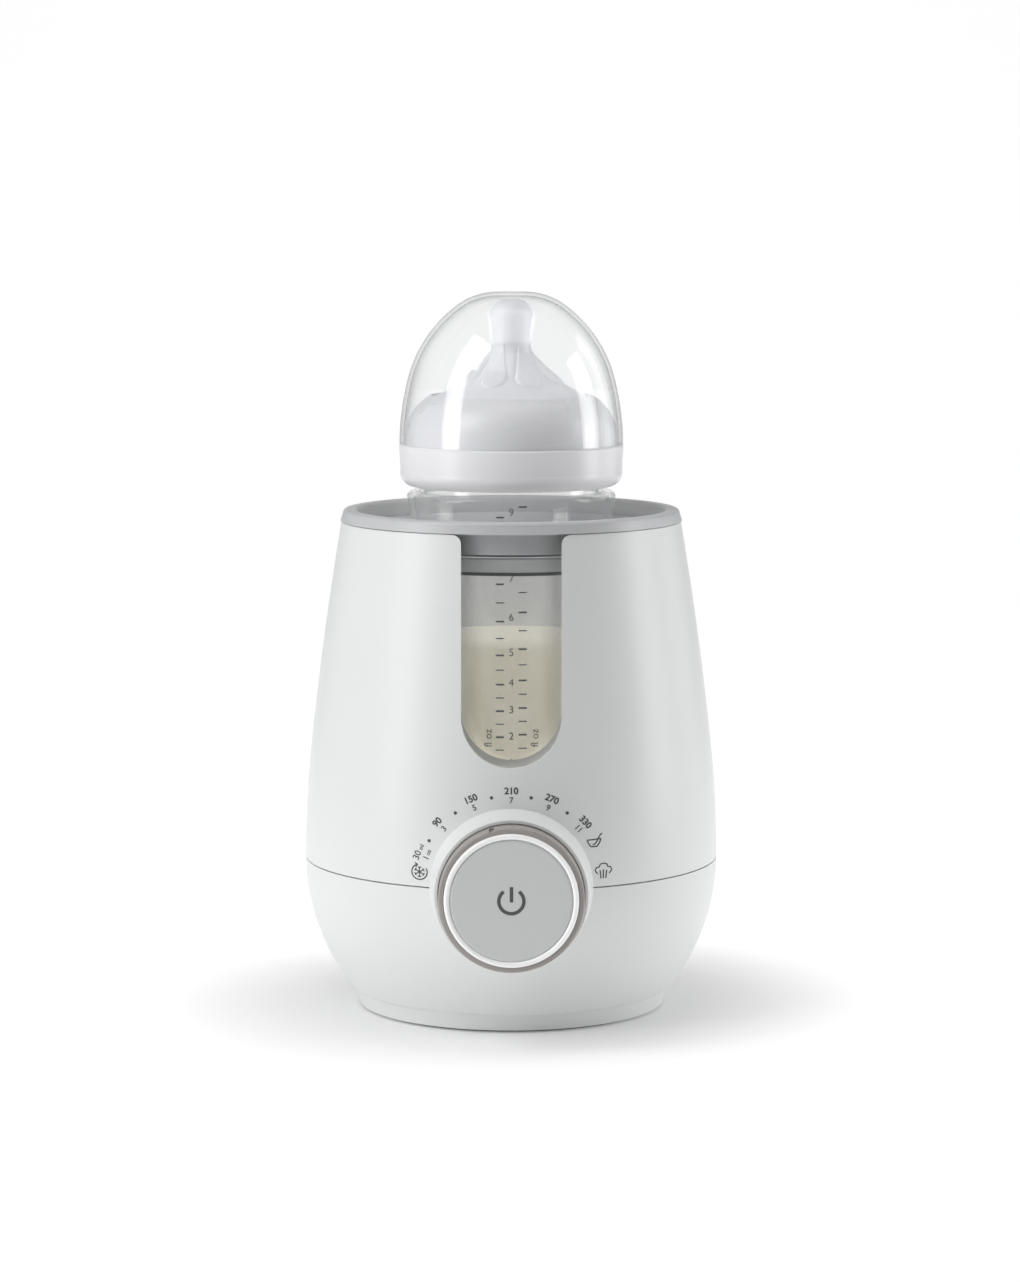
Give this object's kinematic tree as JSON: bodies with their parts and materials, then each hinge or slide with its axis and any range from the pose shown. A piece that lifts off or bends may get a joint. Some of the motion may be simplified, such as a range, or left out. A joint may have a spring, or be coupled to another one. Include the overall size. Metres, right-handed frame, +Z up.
{
  "type": "bottle warmer",
  "caption": "Electric bottle warmer with a tapered two-part shell, a clear front window, a selector dial with a power button, and a capped feeding bottle in its water well.",
  "frame": {"origin": "centre of the foot, on the surface that it stands on", "axes": "+Z up; the window and the dial face -Y, and the cord leaves towards +Y"},
  "size_m": [0.1302, 0.148, 0.2256],
  "materials": {
    "white_shell": "satin white moulded plastic",
    "grey_rubber": "matte grey rubber",
    "grey_trim": "satin grey moulded plastic",
    "well_grey": "matte grey moulded plastic",
    "clear_lens": "clear smooth plastic",
    "steel": "stainless steel",
    "aluminium": "pressed sheet",
    "knob_grey": "satin warm grey plastic",
    "dark_plastic": "black plastic",
    "light_ring": "frosted translucent plastic",
    "silver_button": "satin silver lacquer",
    "circuit_green": "solder mask",
    "led_white": "LED lenses",
    "transformer_yellow": "taped winding",
    "relay_blue": "moulded case",
    "terminal_grey": "moulded block",
    "lead_sleeve": "silicone sleeved wire",
    "ribbon_grey": "flat cable",
    "clear_bottle": "clear moulded plastic",
    "milk": "milk",
    "silicone": "soft translucent silicone",
    "white_ring": "satin white moulded plastic",
    "clear_cap": "clear moulded plastic"
  },
  "bodies": {
    "housing": {"base_plate": "white_shell", "base_screws": "steel", "board_screws": "steel", "button_spring": "steel", "clamp_screws": "steel", "control_board": "circuit_green", "cord_gland": "grey_rubber", "dial_bezel": "white_shell", "encoder_reader": "dark_plastic", "foot_ring": "grey_rubber", "front_screws": "steel", "heater_clamp": "aluminium", "heater_leads": "lead_sleeve", "heater_plate": "steel", "heater_relay": "relay_blue", "heating_element": "steel", "indicator_leds": "led_white", "inner_window": "clear_lens", "led_board": "circuit_green", "light_guide": "light_ring", "lower_housing": "white_shell", "plate_seal": "grey_rubber", "power_board": "circuit_green", "power_switch": "dark_plastic", "ribbon_cable": "ribbon_grey", "rim_collar": "grey_trim", "smoothing_capacitor": "dark_plastic", "terminal_block": "terminal_grey", "thermal_fuse": "steel", "thermostat": "steel", "transformer": "transformer_yellow", "upper_housing": "white_shell", "water_well": "well_grey", "window_frame": "well_grey", "window_gasket": "grey_rubber", "window_lens": "clear_lens"},
    "knob": {"dial_knob": "knob_grey", "code_wheel": "dark_plastic"},
    "button": {"power_button": "silver_button"},
    "bottle": {"bottle_shell": "clear_bottle", "milk": "milk"},
    "nipple": {"teat": "silicone"},
    "ring": {"screw_ring": "white_ring"},
    "cap": {"dome_cap": "clear_cap"}
  },
  "joints": [
    {"name": "dial_turn", "type": "hinge", "parent": "housing", "child": "knob", "pos_m": [0, -0.07, 0.0475], "axis": [0, 1, 0], "range_deg": [-65, 96]},
    {"name": "button_press", "type": "slide", "parent": "housing", "child": "button", "axis": [0, 1, 0], "range_m": [0, 0.0012], "stiffness_N_per_m": 800, "springref_m": -0.001, "deforming": ["button_spring"]},
    {"name": "bottle_lift", "type": "slide", "parent": "housing", "child": "bottle", "axis": [0, 0, 1], "range_m": [0, 0.1]},
    {"name": "teat_rise", "type": "slide", "parent": "bottle", "child": "nipple", "axis": [0, 0, 1], "range_m": [0, 0.0079]},
    {"name": "ring_turn", "type": "hinge", "parent": "nipple", "child": "ring", "pos_m": [0, 0, 0.17], "axis": [0, 0, 1], "range_deg": [0, 720]},
    {"name": "cap_lift", "type": "slide", "parent": "ring", "child": "cap", "axis": [0, 0, 1], "range_m": [0, 0.048]}
  ],
  "couplings": [
    {"joint": "teat_rise", "follows": "ring_turn", "m_per_rad": 0.00062073}
  ]
}
